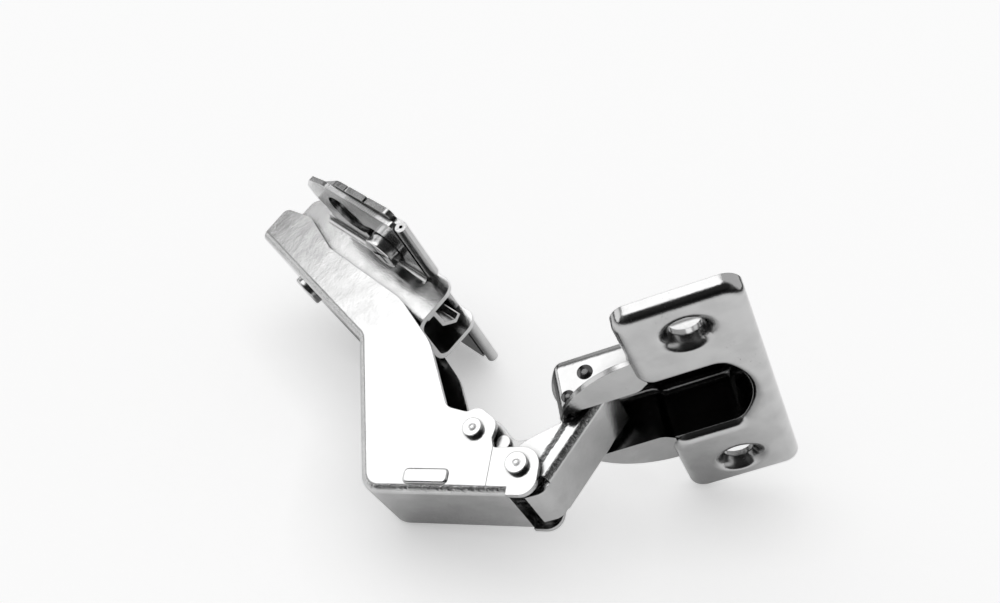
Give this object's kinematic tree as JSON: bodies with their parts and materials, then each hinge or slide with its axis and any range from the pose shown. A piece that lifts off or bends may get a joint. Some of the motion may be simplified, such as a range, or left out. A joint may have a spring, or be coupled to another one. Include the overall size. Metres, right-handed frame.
{
  "type": "concealed cup hinge",
  "caption": "Wide-angle concealed cabinet hinge with a cranked arm, two folding links, a screwed cup for a round boring and a mounting plate with height, side and depth adjustment.",
  "frame": {"origin": "on the cabinet side panel's inner face, midway between the mounting plate's two fixing holes", "axes": "+X from the back of the cabinet towards the door, +Y out of the inner face into the panel, +Z along the hinge pins"},
  "size_m": [0.108, 0.0611, 0.0616],
  "materials": {
    "plated_sheet": "bright nickel-plated pressed steel",
    "plated_pins": "nickel-plated riveted pins",
    "plated_screws": "nickel-plated screws and cam",
    "spring_wire": "oiled spring wire"
  },
  "bodies": {
    "base": {"base_plate": "plated_sheet"},
    "cam": {"height_cam": "plated_screws"},
    "clamp": {"clamp_screw": "plated_screws"},
    "plate": {"mounting_plate": "plated_sheet", "slide_tongue": "plated_sheet"},
    "nut": {"depth_nut": "plated_screws"},
    "arm_body": {"arm": "plated_sheet", "rear_arm_pin": "plated_pins", "front_arm_pin": "plated_pins", "closing_spring": "spring_wire"},
    "depth_drive": {"depth_screw": "plated_screws"},
    "side_drive": {"side_screw": "plated_screws"},
    "outer": {"outer_link": "plated_sheet", "link_rivets": "plated_pins"},
    "inner": {"inner_link": "plated_sheet", "inner_link_pin": "plated_pins"},
    "cup_body": {"cup": "plated_sheet", "rear_cup_rivets": "plated_pins", "front_cup_rivets": "plated_pins", "link_pins": "plated_pins"}
  },
  "joints": [
    {"name": "height_slide", "type": "slide", "parent": "base", "child": "plate", "axis": [0, 0, 1], "range_m": [-0.002, 0.002]},
    {"name": "height_cam_turn", "type": "hinge", "parent": "base", "child": "cam", "pos_m": [0.0069, -0.003, 0.012], "axis": [0, -1, 0], "range_deg": [-90, 90]},
    {"name": "clamp_screw_turn", "type": "hinge", "parent": "base", "child": "clamp", "pos_m": [0.0089, -0.003, -0.0142], "axis": [0, -1, 0], "range_deg": [0, 180]},
    {"name": "depth_slide", "type": "slide", "parent": "plate", "child": "nut", "axis": [1, 0, 0], "range_m": [-0.002, 0.002]},
    {"name": "side_tilt", "type": "hinge", "parent": "nut", "child": "arm_body", "pos_m": [-0.00951, -0.00915, 0], "axis": [0, 0, 1], "range_deg": [-1.5, 1.5]},
    {"name": "depth_screw_turn", "type": "hinge", "parent": "arm_body", "child": "depth_drive", "pos_m": [-0.0105, -0.01595, 0], "axis": [0.144, 0.9896, 0], "range_deg": [-180, 0]},
    {"name": "side_screw_turn", "type": "hinge", "parent": "arm_body", "child": "side_drive", "pos_m": [0.006, -0.01835, 0], "axis": [0.144, 0.9896, 0], "range_deg": [-225, 225]},
    {"name": "outer_link_turn", "type": "hinge", "parent": "arm_body", "child": "outer", "pos_m": [0.061, -0.0215, 0], "axis": [0, 0, 1], "range_deg": [-14.23, 2.47]},
    {"name": "inner_link_turn", "type": "hinge", "parent": "arm_body", "child": "inner", "pos_m": [0.0496, -0.021, 0], "axis": [0, 0, 1], "range_deg": [-17.76, 3.06]},
    {"name": "door_swing", "type": "hinge", "parent": "outer", "child": "cup_body", "pos_m": [0.06109, -0.0035, 0], "axis": [0, 0, 1], "range_deg": [-127.17, 21.33]}
  ],
  "couplings": [
    {"joint": "outer_link_turn", "follows": "door_swing", "ratio": 0.11111},
    {"joint": "inner_link_turn", "follows": "door_swing", "ratio": 0.13889},
    {"joint": "height_cam_turn", "follows": "height_slide", "rad_per_m": 785},
    {"joint": "side_screw_turn", "follows": "side_tilt", "ratio": 148.1}
  ]
}
